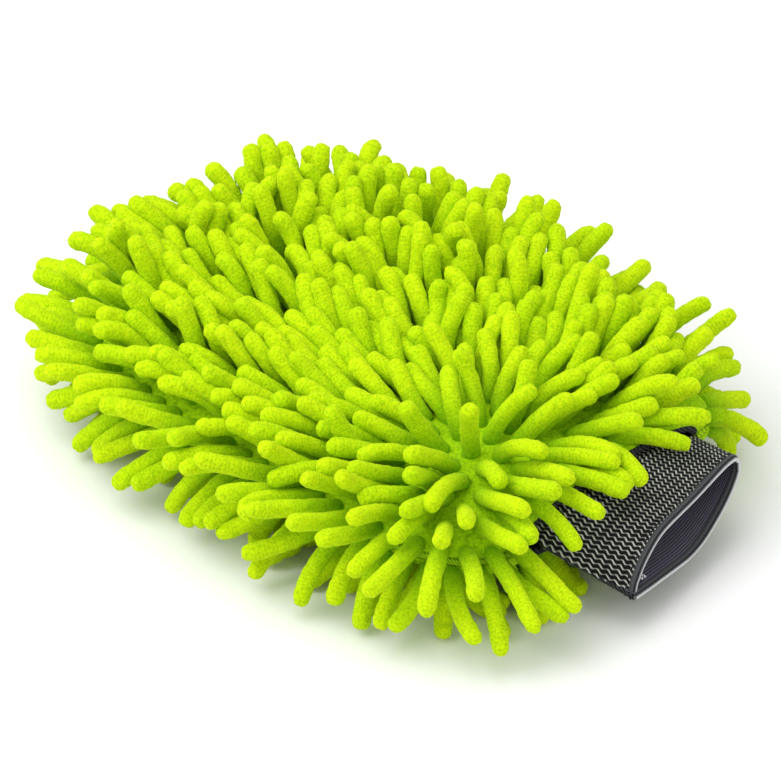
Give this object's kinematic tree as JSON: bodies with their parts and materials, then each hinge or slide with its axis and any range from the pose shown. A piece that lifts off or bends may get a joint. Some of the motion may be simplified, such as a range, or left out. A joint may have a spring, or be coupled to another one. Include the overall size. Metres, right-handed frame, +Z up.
{
  "type": "car wash mitt",
  "caption": "Soft car wash mitt: a cloth pouch covered on both faces with fat chenille noodles, with a knitted elastic cuff.",
  "frame": {"origin": "centre of the overall box on the ground that the mitt lies on", "axes": "+X along the mitt from the fingertips out through the cuff, +Y across the palm, +Z up"},
  "size_m": [0.27, 0.1848, 0.0675],
  "materials": {
    "chenille_noodle": "fluffy microfibre chenille, lime green",
    "backing_cloth": "knitted polyester, lime green",
    "lining_cloth": "plain polyester, black",
    "backing_thread": "overlock thread, lime green",
    "dark_thread": "overlock thread, dark grey",
    "elastic_knit": "ribbed elastic knit, black with grey ribs",
    "facing_knit": "smooth inner face of the elastic knit",
    "binding_tape": "smooth dark grey tape",
    "white_thread": "white polyester thread"
  },
  "bodies": {
    "pouch": {"backing_top": "backing_cloth", "backing_bottom": "backing_cloth", "lining_top": "lining_cloth", "lining_bottom": "lining_cloth", "edge_seam": "backing_thread", "top_noodles_01": "chenille_noodle", "top_noodles_02": "chenille_noodle", "top_noodles_03": "chenille_noodle", "top_noodles_04": "chenille_noodle", "top_noodles_05": "chenille_noodle", "top_noodles_06": "chenille_noodle", "top_noodles_07": "chenille_noodle", "top_noodles_08": "chenille_noodle", "top_noodles_09": "chenille_noodle", "top_noodles_10": "chenille_noodle", "top_noodles_11": "chenille_noodle", "top_noodles_12": "chenille_noodle", "top_edge_noodles": "chenille_noodle", "bottom_noodles_01": "chenille_noodle", "bottom_noodles_02": "chenille_noodle", "bottom_noodles_03": "chenille_noodle", "bottom_noodles_04": "chenille_noodle", "bottom_noodles_05": "chenille_noodle", "bottom_noodles_06": "chenille_noodle", "bottom_noodles_07": "chenille_noodle", "bottom_noodles_08": "chenille_noodle", "bottom_noodles_09": "chenille_noodle", "bottom_noodles_10": "chenille_noodle", "bottom_noodles_11": "chenille_noodle", "bottom_noodles_12": "chenille_noodle", "bottom_edge_noodles": "chenille_noodle", "wrist_seam_upper": "dark_thread", "wrist_seam_lower": "dark_thread"},
    "cuff_lower_half": {"cuff_knit_lower": "elastic_knit", "cuff_facing_lower": "facing_knit", "mouth_binding_lower": "binding_tape", "cuff_side_seam_near": "dark_thread", "cuff_side_seam_far": "dark_thread", "hem_stitches_lower": "dark_thread", "corner_bartack": "white_thread"},
    "cuff_upper_half": {"cuff_knit_upper": "elastic_knit", "cuff_facing_upper": "facing_knit", "mouth_binding_upper": "binding_tape", "hem_stitches_upper": "dark_thread"}
  },
  "joints": [
    {"name": "cuff_flex", "type": "hinge", "parent": "pouch", "child": "cuff_lower_half", "pos_m": [0.0975, 0.008, 0.038], "axis": [0, -1, 0], "range_deg": [-3, 12]},
    {"name": "cuff_open", "type": "hinge", "parent": "cuff_lower_half", "child": "cuff_upper_half", "pos_m": [0.0975, 0.008, 0.038], "axis": [0, -1, 0], "range_deg": [0, 20]}
  ]
}
